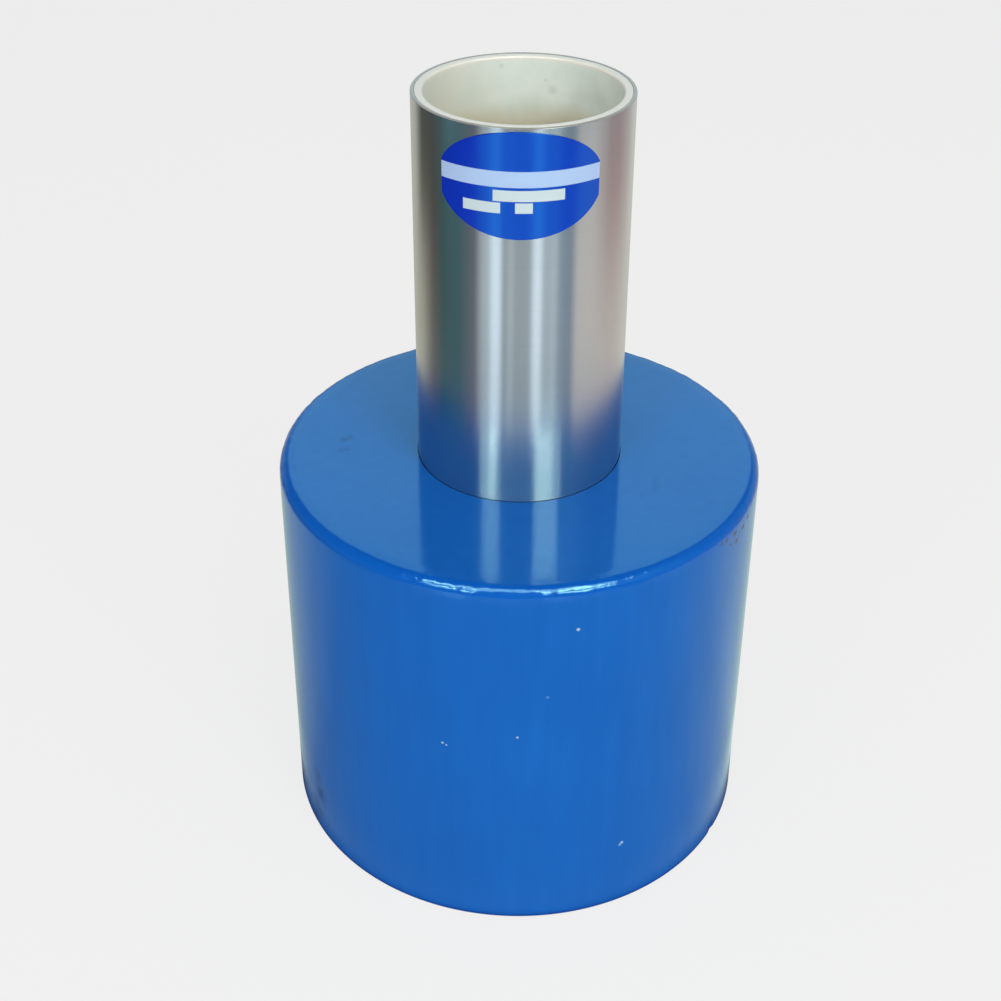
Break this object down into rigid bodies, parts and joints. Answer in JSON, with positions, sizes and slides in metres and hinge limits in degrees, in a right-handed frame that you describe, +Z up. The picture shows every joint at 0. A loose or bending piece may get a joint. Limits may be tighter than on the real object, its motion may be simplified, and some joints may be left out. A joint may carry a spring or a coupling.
{
  "type": "rebound hammer test anvil",
  "caption": "Heavy round steel block with a hardened striking core and a lift-off lined guide tube, for checking a concrete rebound hammer.",
  "frame": {"origin": "centre of the block's underside, on the surface that it stands on", "axes": "+Z up along the axis of the block, core and guide tube; -Y towards the nameplate, the front; +X to the right seen from the front"},
  "size_m": [0.16, 0.16, 0.261],
  "materials": {
    "blue_enamel": "gloss enamel on steel",
    "hardened_steel": "ground and polished hardened steel",
    "black_oxide_steel": "black oxide",
    "spring_steel": "plain spring steel",
    "black_rubber": "smooth nitrile rubber",
    "brushed_stainless": "fine turned grain",
    "cream_plastic": "semi-matt moulded plastic",
    "printed_foil": "gloss printed foil, blank"
  },
  "bodies": {
    "anvil": {"anvil_block": "blue_enamel", "striking_core": "hardened_steel", "core_bolt": "black_oxide_steel", "core_lock_washer": "spring_steel"},
    "grip": {"grip_ring": "black_rubber"},
    "guide": {"guide_tube": "brushed_stainless", "guide_liner": "cream_plastic", "nameplate": "printed_foil"}
  },
  "joints": [
    {"name": "tube_turn", "type": "hinge", "parent": "anvil", "child": "grip", "pos_m": [0, 0, 0.128], "axis": [0, 0, 1], "continuous": true},
    {"name": "tube_lift", "type": "slide", "parent": "grip", "child": "guide", "axis": [0, 0, 1], "range_m": [0, 0.06]}
  ]
}
